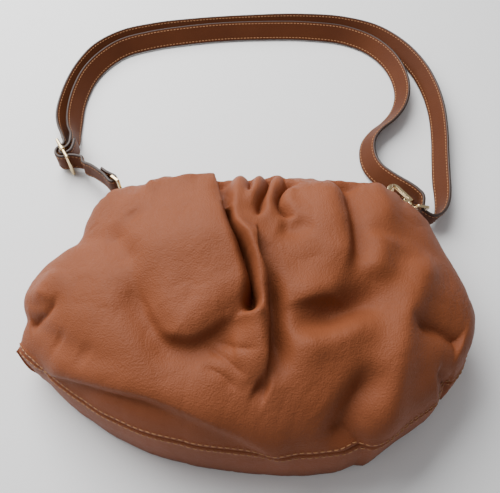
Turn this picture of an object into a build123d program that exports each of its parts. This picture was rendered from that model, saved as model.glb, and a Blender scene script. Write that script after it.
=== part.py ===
from build123d import *
import math
import os

# Hobo bag lying on its back, in millimetres. +X runs across the mouth, +Y from
# the base to the mouth, +Z up from the back panel, which rests at Z = 0.

# --- leather body ---------------------------------------------------------
BAG_WIDTH = 352.0  # across the widest part
BAG_LENGTH = 224.0  # from the base to the mouth edge
BAG_DEPTH = 97.0  # front to back when filled
MOUTH_WIDTH = 225.0  # across the gathered mouth
LEATHER = 2.0  # body leather
LINING = 0.8
LINING_GAP = 1.2  # between leather and lining, which hangs a little loose
SEAM_GAP = 0.3  # between two panels that are sewn together
SECTION_POWER = 3.0  # how square the domed cross-sections are
CORNER_Y = -24.0  # where the base panel's two ends meet the side seams
BASE_SEAM_LOW = 8.0  # seam between base and back panel
BASE_SEAM_HIGH = 30.0  # seam between base and front panel
SIDE_EDGE_SETBACK = 3.0  # how far the shoulders stop short of the mouth edge
PRESS = 0.5  # how deep the back is pressed flat where it rests

# --- hinged frame in the mouth -------------------------------------------
PIVOT_HEIGHT = 33.0  # height of the frame's hinge line
FLAP_RADIUS = 44.0  # gathered front, about the hinge line, at the middle
FLAP_END_RADIUS = 36.0  # the same at its two ends
FLAP_LEATHER = 2.4
FLAP_END_CAP = 1.5
FLAP_START = 1.0  # degrees above the parting plane
FLAP_SWEEP = 96.0  # degrees
FLAP_SHOULDER_GAP = 0.7  # between the flap's end cap and the shoulder
FRAME_DEPTH = 30.0  # from the hinge line to the bar's outer edge
FRAME_BAR = 9.0  # width of the bars
FRAME_THICK = 2.6
FRAME_PARTING = 0.4  # from the parting plane to either bar
KNUCKLE_RADIUS = 4.0
KNUCKLE_LENGTH = 6.0
KNUCKLE_GAP = 0.4
PIN_RADIUS = 1.5
PIN_FREE_FIT = 0.1
PIN_TIGHT_FIT = 0.03
MAGNET = (12.0, 6.0, 2.2)
MAGNET_FIT = 0.1
MAGNET_PLACES = (-78.0, -26.0, 26.0, 78.0)

# --- rings and their tabs --------------------------------------------------
RING_WIRE = 1.5  # radius
RING_HALF = 11.5  # half the straight bar, to the wire's centre
RING_REACH = 16.5  # from the bar to the bow, wire centre to wire centre
RING_HEIGHT = 20.0
RING_BAR_RIGHT = (119.9, 118.7)
RING_BAR_LEFT = (-112.3, 108.6)
RING_AIM_RIGHT = 51.5  # degrees from +X towards +Y
RING_AIM_LEFT = 20.0
TAB_THICK = 4.0
TAB_LEATHER = 1.8
TAB_FIT = 0.3
TAB_WIDTH = 18.0
PASSAGE_ROOM = 1.0  # round a tab where it passes the leather

# --- snap hooks --------------------------------------------------------------
HOOK_AIM_RIGHT = -52.3  # degrees from +X towards +Y
HOOK_AIM_LEFT = 140.0
HOOK_THICK = 3.4
HOOK_INNER = 3.2  # inner radius of the nose
HOOK_WIRE = 3.0
HOOK_LENGTH = 19.0  # from the nose's centre to the foot
HOOK_FOOT = 4.5
HOOK_PULL = 1.4  # how far the nose's centre stands off the ring's wire
NOSE_TIP = 3.0
GATE_THICK = 2.2
GATE_GAP = 0.4
GATE_PIVOT = 15.4
GATE_PIN_RADIUS = 0.6
GATE_PIN_FIT = 0.1
GATE_SLOT = 1.8  # width of the gate's tongue in the forked foot
THUMB_PIECE = 2.6
COLLAR_LENGTH = 3.0
COLLAR_RADIUS = 3.6
POST_RADIUS = 1.2
POST_FIT = 0.2
POST_HEAD = 2.3
POST_HEAD_THICK = 1.2
BALL_OFFSET = 2.0  # from the collar's face to the ball's centre
BALL_RADIUS = 2.4
EYE_WIRE = 1.2
EYE_BASE = 2.5  # from the ball's centre to the eye's base bar
EYE_DEPTH = 8.5
EYE_WIDTH = 22.0  # clear width for the strap
EYE_AIM_RIGHT = -10.0
EYE_TOP_LEAN_RIGHT = 25.0  # the right eye's upper end leans towards the base

# --- strap ---------------------------------------------------------------------
STRAP_WIDTH = 20.0
STRAP_THICK = 2.6
STRAP_LEAN = 38.0  # degrees from upright, away from the loop's middle
STRAP_RUN = 9.0  # height of the strap's middle on the table
STRAP_FIT = 0.3

# --- slider --------------------------------------------------------------------
SLIDER_CENTRE = (-176.0, 173.3)
SLIDER_AIM = -58.7  # heading of the slider's rails, degrees
SLIDER_BAR_SPACING = 12.0
SLIDER_WIRE = 1.5
SLIDER_CLEAR = 22.0  # clear width for the strap
COLLAR_WALL = 0.8
COLLAR_WIDTH = 4.0
RAIL_FIT = 0.05

HALF_BAG = BAG_WIDTH / 2
HALF_MOUTH = MOUTH_WIDTH / 2
HALF_LENGTH = BAG_LENGTH / 2
PIVOT_Y = HALF_LENGTH - FLAP_RADIUS - 1.0
TAB_ROOT = (HALF_MOUTH - 11.5, PIVOT_Y + 18.0)  # where a tab starts, under the frame's arm
SHOULDER_X = HALF_MOUTH + FLAP_SHOULDER_GAP
HINGE_LINE = Axis((0, PIVOT_Y, PIVOT_HEIGHT), (1, 0, 0))
BIG = 2 * BAG_WIDTH


def between(low, high, share):
    return low + share * (high - low)


WIDEST_AT = 0.38  # share of a section's height where it is widest
FLOOR_INSET = 24.0  # the flat floor is this much narrower on each side
BASE_RISE = 14.0  # how far the floor lifts at the very end of the base
MOUTH_RISE = 3.0
MOUTH_TOP = 46.0  # height of the shoulders at the mouth edge
BASE_STEPS = (0.99, 0.965, 0.92, 0.85, 0.75, 0.6, 0.4, 0.2)
MOUTH_STEPS = (0.0, 0.2, 0.4, 0.55, 0.67, 0.8, 0.9, 1.0)


def section(y, half_width, top, floor, inset):
    """One closed cross-section, drawn inset from the outer leather."""
    wide = half_width - inset
    high = top - inset
    low = floor + inset
    waist = between(floor, top, WIDEST_AT)
    flat = max(wide - FLOOR_INSET, 0.4 * wide)
    upper = []
    for step in range(10):
        angle = math.radians(10 * step)
        across = wide * max(math.cos(angle), 0) ** (2 / SECTION_POWER)
        up = (high - waist) * math.sin(angle) ** (2 / SECTION_POWER)
        upper.append((across, y, waist + up))
    crown = upper + [(-x, y, z) for x, y, z in reversed(upper[:-1])]
    quarter = math.sqrt(0.5)
    side = (between(flat, wide, quarter), y, between(waist, low, quarter))
    right = Spline((flat, y, low), side, (wide, y, waist), tangents=[(1, 0, 0), (0, 0, 1)])
    over = Spline(*crown)
    left = Spline((-wide, y, waist), (-side[0], y, side[2]), (-flat, y, low),
                  tangents=[(0, 0, -1), (1, 0, 0)])
    floor_line = Line((-flat, y, low), (flat, y, low))
    return Wire([right.edge(), over.edge(), left.edge(), floor_line.edge()])


def body_solid(inset, mouth_y=None):
    """The bag's outer form, or the hollow inside it when inset."""
    wires = []
    for share in BASE_STEPS:
        y = -share * (HALF_LENGTH - inset)
        half_width = HALF_BAG * (1 - share ** 2.2) ** (1 / 2.2)
        top = BAG_DEPTH * (1 - share ** 3) ** 0.25
        floor = BASE_RISE * max(0, (share - 0.8) / 0.2) ** 2 - PRESS
        wires.append(section(y, half_width, top, floor, inset))
    for share in MOUTH_STEPS:
        y = share * HALF_LENGTH
        half_width = between(HALF_MOUTH, HALF_BAG, (1 - share ** 1.7) ** 0.8)
        top = between(BAG_DEPTH, MOUTH_TOP, share ** 2.6)
        floor = MOUTH_RISE * max(0, (share - 0.85) / 0.15) ** 2 - PRESS
        wires.append(section(y, half_width, top, floor, inset))
    if mouth_y is not None:
        wires.append(section(mouth_y, half_width, top, floor, inset))
    return Solid.make_loft(wires, ruled=True)


def block(x, y, z):
    """A box from three (low, high) pairs."""
    size = (x[1] - x[0], y[1] - y[0], z[1] - z[0])
    centre = ((x[0] + x[1]) / 2, (y[0] + y[1]) / 2, (z[0] + z[1]) / 2)
    return Pos(*centre) * Box(*size)


def rod(start, end, radius):
    """A round rod between two points."""
    along = Vector(*end) - Vector(*start)
    return Plane(origin=start, z_dir=along) * extrude(Circle(radius), along.length)


def body_panels():
    """Front, back and base panels and the gathered back of the mouth."""
    outer = body_solid(0.0) & block((-BIG, BIG), (-BIG, BIG), (0, BIG))
    hollow = body_solid(LEATHER, mouth_y=HALF_LENGTH + 20)
    shell = outer - hollow
    edge = HALF_LENGTH - SIDE_EDGE_SETBACK
    shell = shell & block((-BIG, BIG), (-BIG, edge), (-BIG, BIG))
    shell = shell - tab_passage(RING_BAR_RIGHT, 1, RING_AIM_RIGHT)
    shell = shell - tab_passage(RING_BAR_LEFT, -1, RING_AIM_LEFT)
    seam = PIVOT_HEIGHT
    half = SEAM_GAP / 2
    mouth = block((-SHOULDER_X, SHOULDER_X), (PIVOT_Y, BIG), (-BIG, BIG))
    base_zone = block((-BIG, BIG), (-BIG, CORNER_Y - half),
                      (BASE_SEAM_LOW + half, BASE_SEAM_HIGH - half))
    above_side = block((-BIG, BIG), (CORNER_Y + half, BIG), (seam + half, BIG))
    above_base = block((-BIG, BIG), (-BIG, CORNER_Y + half), (BASE_SEAM_HIGH + half, BIG))
    below_side = block((-BIG, BIG), (CORNER_Y + half, BIG), (-BIG, seam - half))
    below_base = block((-BIG, BIG), (-BIG, CORNER_Y + half), (-BIG, BASE_SEAM_LOW - half))
    front = shell & (above_side + above_base)
    front = front - mouth
    lower = shell & (below_side + below_base)
    gather_zone = block((-SHOULDER_X, SHOULDER_X), (PIVOT_Y + SEAM_GAP, BIG), (-BIG, BIG))
    return {
        "front_panel": front,
        "back_panel": lower - mouth,
        "base_panel": shell & base_zone,
        "back_gather": (lower & gather_zone).solids().sort_by(SortBy.VOLUME)[-1],
    }


def lining():
    """The inner bag, open towards the mouth."""
    outside = LEATHER + LINING_GAP
    cut = block((-BIG, BIG), (-BIG, PIVOT_Y - 6), (-BIG, BIG))
    skin = body_solid(outside) & cut
    return skin - body_solid(outside + LINING)


def front_gather():
    """The gathered leather that swings with the front half of the frame."""
    cap = HALF_MOUTH - FLAP_END_CAP
    inner_end = FLAP_END_RADIUS - FLAP_LEATHER
    inner_mid = FLAP_RADIUS - FLAP_LEATHER
    y = PIVOT_Y
    hub = 6.0

    def curve(half, end_radius, mid_radius):
        near = between(end_radius, mid_radius, 0.85)
        return Spline((-half, y + end_radius), (-0.5 * half, y + near), (0, y + mid_radius),
                      (0.5 * half, y + near), (half, y + end_radius))

    outside = curve(HALF_MOUTH, FLAP_END_RADIUS, FLAP_RADIUS)
    inside = curve(cap, inner_end, inner_mid)
    ends = [
        Polyline((HALF_MOUTH, y + FLAP_END_RADIUS), (HALF_MOUTH, y + hub), (cap, y + hub),
                 (cap, y + inner_end)),
        Polyline((-HALF_MOUTH, y + FLAP_END_RADIUS), (-HALF_MOUTH, y + hub), (-cap, y + hub),
                 (-cap, y + inner_end)),
    ]
    face = make_face(outside.edges() + inside.edges() + ends[0].edges() + ends[1].edges())
    ring = revolve(Pos(0, 0, PIVOT_HEIGHT) * face, HINGE_LINE, FLAP_SWEEP)
    return ring.rotate(HINGE_LINE, FLAP_START)


def mouth_frame(outer_x, side):
    """One half of the hinged frame: a bar, two arms and two knuckles."""
    inner_x = outer_x - KNUCKLE_LENGTH
    if side > 0:
        z = (PIVOT_HEIGHT + FRAME_PARTING, PIVOT_HEIGHT + FRAME_PARTING + FRAME_THICK)
        fit = PIN_FREE_FIT
    else:
        z = (PIVOT_HEIGHT - FRAME_PARTING - FRAME_THICK, PIVOT_HEIGHT - FRAME_PARTING)
        fit = PIN_TIGHT_FIT
    far = PIVOT_Y + FRAME_DEPTH
    bar = block((-outer_x, outer_x), (far - FRAME_BAR, far), z)
    for hand in (-1, 1):
        x = sorted((hand * inner_x, hand * outer_x))
        bar += block(x, (PIVOT_Y, far), z)
        bar += rod((x[0], PIVOT_Y, PIVOT_HEIGHT), (x[1], PIVOT_Y, PIVOT_HEIGHT), KNUCKLE_RADIUS)
    bar -= rod((-BIG, PIVOT_Y, PIVOT_HEIGHT), (BIG, PIVOT_Y, PIVOT_HEIGHT), PIN_RADIUS + fit)
    for x in MAGNET_PLACES:
        bar -= Pos(x, far - FRAME_BAR / 2, sum(z) / 2) * Box(
            MAGNET[0] + 2 * MAGNET_FIT, MAGNET[1] + 2 * MAGNET_FIT, 2 * FRAME_THICK)
    magnets = []
    for x in MAGNET_PLACES:
        magnets.append(Pos(x, far - FRAME_BAR / 2, sum(z) / 2) * Box(*MAGNET))
    return bar, Compound(children=magnets)


def frame_parts():
    front_x = HALF_MOUTH - FLAP_END_CAP - 2 * KNUCKLE_GAP
    back_x = front_x - KNUCKLE_LENGTH - KNUCKLE_GAP
    front, front_magnets = mouth_frame(front_x, 1)
    back, back_magnets = mouth_frame(back_x, -1)
    pins = []
    for hand in (-1, 1):
        pins.append(rod((hand * (back_x - KNUCKLE_LENGTH), PIVOT_Y, PIVOT_HEIGHT),
                        (hand * front_x, PIVOT_Y, PIVOT_HEIGHT), PIN_RADIUS))
    return {
        "front_frame": front,
        "back_frame": back,
        "frame_pins": Compound(children=pins),
        "front_magnets": front_magnets,
        "back_magnets": back_magnets,
    }


def aim(degrees):
    turn = math.radians(degrees)
    return Vector(math.cos(turn), math.sin(turn), 0)


def d_ring(bar, degrees):
    """A D-ring standing upright, its bow towards the given heading."""
    plane = Plane(origin=(*bar, RING_HEIGHT), x_dir=aim(degrees), z_dir=aim(degrees - 90))
    top = (0, RING_HALF)
    foot = (0, -RING_HALF)
    bow = ThreePointArc(top, (RING_REACH, 0), foot)
    bow_face = Plane(origin=(0, RING_HALF, 0), z_dir=bow % 0) * Circle(RING_WIRE)
    ring = sweep(bow_face, bow)
    ring += rod((0, -RING_HALF, 0), (0, RING_HALF, 0), RING_WIRE)
    ring += Pos(*top, 0) * Sphere(RING_WIRE)
    ring += Pos(*foot, 0) * Sphere(RING_WIRE)
    return plane * ring


def ring_tab(bar, hand):
    """A folded leather tab from under the frame's arm to the ring's bar."""
    root = Vector(hand * TAB_ROOT[0], TAB_ROOT[1])
    end = Vector(*bar)
    along = (end - root).normalized()
    side = Vector(-along.Y, along.X) * (TAB_THICK / 2)
    loop = RING_WIRE + TAB_FIT + TAB_LEATHER
    corners = [root + side, end + side, end - side, root - side]
    blank = make_face(Polyline(*[(p.X, p.Y) for p in corners], close=True))
    blank += Pos(end.X, end.Y) * Circle(loop)
    blank -= Pos(end.X, end.Y) * Circle(RING_WIRE + TAB_FIT)
    top = PIVOT_HEIGHT - FRAME_PARTING - FRAME_THICK - SEAM_GAP
    return Pos(0, 0, top - TAB_WIDTH) * extrude(blank, TAB_WIDTH)


def tab_passage(bar, hand, ring_degrees):
    """Room for a tab and its ring where they leave the mouth's corner."""
    root = Vector(hand * TAB_ROOT[0], TAB_ROOT[1])
    end = Vector(*bar)
    along = (end - root).normalized()
    side = Vector(-along.Y, along.X) * (TAB_THICK / 2 + PASSAGE_ROOM)
    corners = [root + side, end + side, end - side, root - side]
    opening = make_face(Polyline(*[(p.X, p.Y) for p in corners], close=True))
    opening += Pos(end.X, end.Y) * Circle(RING_WIRE + TAB_FIT + TAB_LEATHER + PASSAGE_ROOM)
    opening += Pos(end.X, end.Y) * Rot(0, 0, ring_degrees) * Pos(RING_REACH / 2, 0) * Rectangle(
        RING_REACH, 2 * (RING_WIRE + PASSAGE_ROOM))
    low = RING_HEIGHT - RING_HALF - RING_WIRE - PASSAGE_ROOM
    return Pos(0, 0, low) * extrude(opening, PIVOT_HEIGHT + PASSAGE_ROOM - low)


def hook_plane(bar, ring_degrees, hook_degrees):
    """The hook's own frame: X along the hook, origin at the nose's centre."""
    ring_bow = Vector(*bar, RING_HEIGHT) + aim(ring_degrees) * RING_REACH
    origin = ring_bow + aim(hook_degrees) * HOOK_PULL
    return Plane(origin=origin, x_dir=aim(hook_degrees), z_dir=(0, 0, 1))


NOSE_RADIUS = HOOK_INNER + HOOK_WIRE / 2
FOOT_HALF = NOSE_RADIUS + HOOK_WIRE / 2
COLLAR_END = HOOK_LENGTH + COLLAR_LENGTH
BALL_X = COLLAR_END + BALL_OFFSET


def hook_body():
    """Nose, shaft, forked foot and collar, drawn in the hook's own frame."""
    outer = NOSE_RADIUS + HOOK_WIRE / 2
    nose = Circle(outer) - Circle(HOOK_INNER)
    nose -= Pos(outer, 0) * Rectangle(2 * outer, 4 * outer)
    foot_start = HOOK_LENGTH - HOOK_FOOT
    flat = nose + Pos(HOOK_LENGTH / 2, NOSE_RADIUS) * Rectangle(HOOK_LENGTH, HOOK_WIRE)
    flat += Pos(NOSE_TIP / 2, -NOSE_RADIUS) * Rectangle(NOSE_TIP, HOOK_WIRE)
    flat += Pos(foot_start + HOOK_FOOT / 2, 0) * Rectangle(HOOK_FOOT, 2 * FOOT_HALF)
    body = Pos(0, 0, -HOOK_THICK / 2) * extrude(flat, HOOK_THICK)
    tongue = GATE_SLOT + GATE_GAP
    room_y = (-2 * FOOT_HALF, -NOSE_RADIUS + GATE_THICK / 2 + GATE_GAP)
    body -= block((foot_start - 1, GATE_PIVOT + GATE_THICK / 2 + GATE_GAP), room_y,
                  (-tongue / 2, tongue / 2))
    body += rod((HOOK_LENGTH - 0.5, 0, 0), (COLLAR_END, 0, 0), COLLAR_RADIUS)
    body -= rod((foot_start - 1, 0, 0), (COLLAR_END + 1, 0, 0), POST_RADIUS + POST_FIT)
    body -= rod((GATE_PIVOT, -NOSE_RADIUS, -HOOK_THICK), (GATE_PIVOT, -NOSE_RADIUS, HOOK_THICK),
                GATE_PIN_RADIUS + PIN_TIGHT_FIT)
    return body


def hook_gate():
    """The sprung gate, closed against the nose's tip."""
    start = NOSE_TIP + GATE_GAP
    neck = HOOK_LENGTH - HOOK_FOOT - GATE_GAP
    gate = block((start, neck), (-NOSE_RADIUS - GATE_THICK / 2, -NOSE_RADIUS + GATE_THICK / 2),
                 (-HOOK_THICK / 2, HOOK_THICK / 2))
    gate += block((neck - 1, GATE_PIVOT), (-NOSE_RADIUS - GATE_THICK / 2,
                  -NOSE_RADIUS + GATE_THICK / 2), (-GATE_SLOT / 2, GATE_SLOT / 2))
    gate += rod((GATE_PIVOT, -NOSE_RADIUS, -GATE_SLOT / 2), (GATE_PIVOT, -NOSE_RADIUS, GATE_SLOT / 2),
                GATE_THICK / 2)
    gate += block((start + 1.5, start + 4.0), (-NOSE_RADIUS - GATE_THICK / 2 - THUMB_PIECE / 2,
                  -NOSE_RADIUS), (-HOOK_THICK / 2, HOOK_THICK / 2))
    gate -= rod((GATE_PIVOT, -NOSE_RADIUS, -HOOK_THICK), (GATE_PIVOT, -NOSE_RADIUS, HOOK_THICK),
                GATE_PIN_RADIUS + GATE_PIN_FIT)
    return gate


def gate_pin():
    return rod((GATE_PIVOT, -NOSE_RADIUS, -HOOK_THICK / 2), (GATE_PIVOT, -NOSE_RADIUS, HOOK_THICK / 2),
               GATE_PIN_RADIUS)


def hook_eye(plane, eye_x, eye_up):
    """Post, ball and rectangular eye; the eye may point off the hook's line."""
    head = HOOK_LENGTH - HOOK_FOOT - POST_FIT
    turned = Pos(BALL_X, 0) * Circle(BALL_RADIUS)
    turned += Pos((head + BALL_X) / 2, 0) * Rectangle(BALL_X - head, 2 * POST_RADIUS)
    turned += Pos(head - POST_HEAD_THICK / 2, 0) * Rectangle(POST_HEAD_THICK, 2 * POST_HEAD)
    upper_half = Pos(BALL_X, BALL_X) * Rectangle(2 * BALL_X, 2 * BALL_X)
    post = revolve(turned & upper_half, Axis.X)
    ball = Vector(plane.from_local_coords((BALL_X, 0, 0)))
    loop_plane = Plane(origin=ball, x_dir=eye_x, z_dir=Vector(*eye_x).cross(Vector(*eye_up)))
    width = EYE_WIDTH + 4 * EYE_WIRE
    depth = EYE_DEPTH + 2 * EYE_WIRE
    outline = RectangleRounded(depth, width, 1.8 * EYE_WIRE)
    window = RectangleRounded(EYE_DEPTH - 2 * EYE_WIRE, EYE_WIDTH, 0.6 * EYE_WIRE)
    flat = Pos(EYE_BASE + EYE_DEPTH / 2, 0) * (outline - window)
    loop = Pos(0, 0, -EYE_WIRE) * extrude(flat, 2 * EYE_WIRE)
    return plane * post + loop_plane * loop


def unit(vector):
    return vector / vector.length


class Station:
    """A place on the strap's middle line and how far its top edge leans left."""

    def __init__(self, x, y, z, lean):
        self.place = Vector(x, y, z)
        self.lean = math.radians(lean)


def ribbon(stations):
    """A flat strap on edge through the stations, as one ruled solid."""
    wires = []
    last = len(stations) - 1
    for index, here in enumerate(stations):
        ahead = stations[min(index + 1, last)].place
        behind = stations[max(index - 1, 0)].place
        along = unit(ahead - behind)
        left = unit(Vector(0, 0, 1).cross(along))
        upright = along.cross(left)
        up = upright * math.cos(here.lean) + left * math.sin(here.lean)
        out = along.cross(up) * (STRAP_THICK / 2)
        up = up * (STRAP_WIDTH / 2)
        corners = [here.place + up + out, here.place - up + out,
                   here.place - up - out, here.place + up - out]
        wires.append(Wire.make_polygon(corners, close=True))
    return Solid.make_loft(wires, ruled=True)


RIGHT_HOOK = hook_plane(RING_BAR_RIGHT, RING_AIM_RIGHT, HOOK_AIM_RIGHT)
LEFT_HOOK = hook_plane(RING_BAR_LEFT, RING_AIM_LEFT, HOOK_AIM_LEFT)
RIGHT_EYE_X = aim(EYE_AIM_RIGHT)
LEFT_EYE_X = aim(HOOK_AIM_LEFT)
LEAN = math.radians(EYE_TOP_LEAN_RIGHT)
TILTED_UP = Vector(0, -math.sin(LEAN), math.cos(LEAN))
RIGHT_EYE_UP = unit(TILTED_UP - RIGHT_EYE_X * TILTED_UP.dot(RIGHT_EYE_X))
RAIL_LOW = SLIDER_WIRE + RAIL_FIT + COLLAR_WALL
RAIL_HIGH = RAIL_LOW + 2 * SLIDER_WIRE + SLIDER_CLEAR
SLIDER_MID = (RAIL_LOW + RAIL_HIGH) / 2
SLIDER_FRAME = Plane(origin=(*SLIDER_CENTRE, 0), x_dir=aim(SLIDER_AIM), z_dir=(0, 0, 1))
EYE_FOLD = math.hypot(EYE_WIRE, EYE_WIRE) + STRAP_FIT + STRAP_THICK / 2
BAR_FOLD = SLIDER_WIRE + STRAP_FIT + STRAP_THICK / 2
PASS_AT = BAR_FOLD + STRAP_THICK + 1.1  # where the running strap crosses the slider


def left_end():
    """The sewn end, folded round the left hook's eye; local to that hook."""
    bar_x = BALL_X + EYE_BASE + EYE_DEPTH
    apart = STRAP_THICK / 2 + STRAP_FIT
    local = [(bar_x + 16, -apart), (bar_x + 10, -apart), (bar_x + 4, -0.8 * EYE_FOLD)]
    for step in range(7):
        angle = math.radians(270 - 30 * step)
        local.append((bar_x + EYE_FOLD * math.cos(angle), EYE_FOLD * math.sin(angle)))
    local += [(bar_x + 4, 0.8 * EYE_FOLD), (bar_x + 10, apart), (bar_x + 16, apart)]
    return [Station(*LEFT_HOOK.from_local_coords((x, y, 0)), 0) for x, y in local]


def at_slider(rows):
    """Stations given along and across the slider's rails."""
    across = -1  # the slider's outer side is on its frame's -Y side
    stations = []
    for along, out in rows:
        place = SLIDER_FRAME.from_local_coords((along, across * out, SLIDER_MID))
        stations.append(Station(*place, 0))
    return stations


def through_slider():
    """The running strap: in at one window, round the fold, out at the other."""
    clear = BAR_FOLD + STRAP_THICK + STRAP_FIT
    return at_slider([
        (16, -12), (11, -8), (PASS_AT + 1.2, -4), (PASS_AT, -1), (PASS_AT - 0.4, 2.5),
        (0.7 * clear, 0.93 * clear), (0, clear + 1), (-0.7 * clear, 0.93 * clear),
        (-PASS_AT + 0.4, 2.5), (-PASS_AT, -1), (-PASS_AT - 1.8, -4.2),
        (-SLIDER_BAR_SPACING, -5.8), (-SLIDER_BAR_SPACING - 4, -6.3),
    ])


def slider_end():
    """The strap's other end, folded round the slider's middle bar."""
    rows = [(-11, -12), (-6, -8.8), (-3.5, -5), (-BAR_FOLD, -1)]
    for step in range(7):
        angle = math.radians(180 - 30 * step)
        rows.append((BAR_FOLD * math.cos(angle), BAR_FOLD * math.sin(angle)))
    rows += [(BAR_FOLD, -3), (2.2, -6.5), (-1, -10), (-5, -13), (-9.5, -15.6)]
    return at_slider(rows)


def run(rows):
    return [Station(*row) for row in rows]


TAIL = (
    (-147.0, 154.5, 17.5, 0), (-156.0, 161.0, 15.5, 0),
)
OUTER_RUN = (
    (-181.5, 200, 12.5, 14), (-184.5, 212, 10, 27), (-187, 227, STRAP_RUN, STRAP_LEAN),
    (-186.5, 253, STRAP_RUN, STRAP_LEAN), (-183, 275, STRAP_RUN, STRAP_LEAN),
    (-176, 298, STRAP_RUN, STRAP_LEAN), (-163, 322, STRAP_RUN, STRAP_LEAN),
    (-140, 341, STRAP_RUN, STRAP_LEAN), (-105, 353, STRAP_RUN, STRAP_LEAN),
    (-56, 361, STRAP_RUN, STRAP_LEAN), (0, 366, STRAP_RUN, STRAP_LEAN),
    (57, 368, STRAP_RUN, STRAP_LEAN), (105, 363, STRAP_RUN, STRAP_LEAN),
    (138, 350, STRAP_RUN, STRAP_LEAN), (163, 326, STRAP_RUN, STRAP_LEAN),
    (179, 297, STRAP_RUN, STRAP_LEAN), (187, 267, STRAP_RUN, STRAP_LEAN),
    (189.5, 237, STRAP_RUN, STRAP_LEAN), (187.5, 205, STRAP_RUN, STRAP_LEAN),
    (183.5, 175, STRAP_RUN, STRAP_LEAN), (180.5, 150, STRAP_RUN, STRAP_LEAN),
    (179, 134, 9.5, 32), (176.5, 121, 10.5, 25), (172.5, 111, 12, 18), (167, 104.5, 13.5, 12),
    (161, 101.8, 15.2, 7), (155.8, 103, 17, 2),
)
INNER_RUN = (
    (153, 117.5, 22, -4), (149.8, 123.5, 20.5, -10), (144.5, 130.5, 18, -18),
    (137, 138.5, 15, -25), (128.5, 147.5, 12.5, -31), (120.5, 157.5, 10.5, -35),
    (115.5, 168.5, 9.4, -STRAP_LEAN), (113.8, 182, STRAP_RUN, -STRAP_LEAN),
    (116.5, 197, STRAP_RUN, -STRAP_LEAN), (125, 210, STRAP_RUN, -STRAP_LEAN),
    (138, 222, STRAP_RUN, -STRAP_LEAN), (150, 238, STRAP_RUN, -STRAP_LEAN),
    (157.5, 260, STRAP_RUN, -STRAP_LEAN), (157, 286, STRAP_RUN, -STRAP_LEAN),
    (148, 312, STRAP_RUN, -STRAP_LEAN), (131, 333, STRAP_RUN, -STRAP_LEAN),
    (104, 348, STRAP_RUN, -STRAP_LEAN), (67, 354.5, STRAP_RUN, -STRAP_LEAN),
    (11, 355.5, STRAP_RUN, -STRAP_LEAN), (-33, 353, STRAP_RUN, -STRAP_LEAN),
    (-72, 347.5, STRAP_RUN, -STRAP_LEAN), (-110, 339, STRAP_RUN, -STRAP_LEAN),
    (-139, 327, STRAP_RUN, -STRAP_LEAN), (-157, 309, STRAP_RUN, -STRAP_LEAN),
    (-168.5, 289, STRAP_RUN, -STRAP_LEAN), (-175, 265, STRAP_RUN, -STRAP_LEAN),
    (-177, 245, STRAP_RUN, -STRAP_LEAN), (-176.5, 226, STRAP_RUN, -STRAP_LEAN),
    (-174.5, 210, 10.5, -26), (-171.5, 197.5, 13, -13),
)


def through_right_eye():
    """Three stations straight through the right hook's eye."""
    ball = Vector(RIGHT_HOOK.from_local_coords((BALL_X, 0, 0)))
    middle = ball + RIGHT_EYE_X * (EYE_BASE + 0.55 * EYE_DEPTH)
    through = unit(RIGHT_EYE_UP.cross(RIGHT_EYE_X))
    return [Station(*(middle + through * step), 0) for step in (-3.5, 0, 3.5)]


def strap_stations():
    return (left_end() + run(TAIL) + through_slider() + run(OUTER_RUN) + through_right_eye()
            + run(INNER_RUN) + slider_end())


def slider_parts():
    """The rectangular slider on edge and its middle bar with two collars."""
    spacing = SLIDER_BAR_SPACING
    corners = [(-spacing, RAIL_LOW), (spacing, RAIL_LOW), (spacing, RAIL_HIGH),
               (-spacing, RAIL_HIGH)]
    frame = Part()
    for here, there in zip(corners, corners[1:] + corners[:1]):
        frame += rod((here[0], 0, here[1]), (there[0], 0, there[1]), SLIDER_WIRE)
        frame += Pos(here[0], 0, here[1]) * Sphere(SLIDER_WIRE)
    bar = rod((0, 0, RAIL_LOW), (0, 0, RAIL_HIGH), SLIDER_WIRE)
    bore = SLIDER_WIRE + RAIL_FIT
    for height in (RAIL_LOW, RAIL_HIGH):
        bar += rod((-COLLAR_WIDTH / 2, 0, height), (COLLAR_WIDTH / 2, 0, height), bore + COLLAR_WALL)
    for height in (RAIL_LOW, RAIL_HIGH):
        bar -= rod((-spacing, 0, height), (spacing, 0, height), bore)
    return SLIDER_FRAME * frame, SLIDER_FRAME * bar


def all_parts():
    parts = body_panels()
    parts["lining"] = lining()
    parts["front_gather"] = front_gather()
    parts.update(frame_parts())
    parts["right_ring"] = d_ring(RING_BAR_RIGHT, RING_AIM_RIGHT)
    parts["left_ring"] = d_ring(RING_BAR_LEFT, RING_AIM_LEFT)
    parts["right_ring_tab"] = ring_tab(RING_BAR_RIGHT, 1)
    parts["left_ring_tab"] = ring_tab(RING_BAR_LEFT, -1)
    for side, plane in (("right", RIGHT_HOOK), ("left", LEFT_HOOK)):
        parts[side + "_hook_body"] = plane * hook_body()
        parts[side + "_hook_gate"] = plane * hook_gate()
        parts[side + "_gate_pin"] = plane * gate_pin()
    parts["right_hook_eye"] = hook_eye(RIGHT_HOOK, RIGHT_EYE_X, RIGHT_EYE_UP)
    parts["left_hook_eye"] = hook_eye(LEFT_HOOK, LEFT_EYE_X, Vector(0, 0, 1))
    parts["slider_frame"], parts["slider_bar"] = slider_parts()
    parts["strap"] = ribbon(strap_stations())
    return parts


def strap_length():
    places = [station.place for station in strap_stations()]
    return sum((b - a).length for a, b in zip(places, places[1:]))


os.makedirs("parts", exist_ok=True)
for name, shape in all_parts().items():
    export_step(shape, os.path.join("parts", name + ".step"))
print("strap length", round(strap_length()), "mm")
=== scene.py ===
"""A gathered leather hobo bag on its back, its strap looped on the table beyond the mouth."""
import logging
import math
from dataclasses import dataclass, field
from enum import Enum
from typing import Sequence

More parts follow.
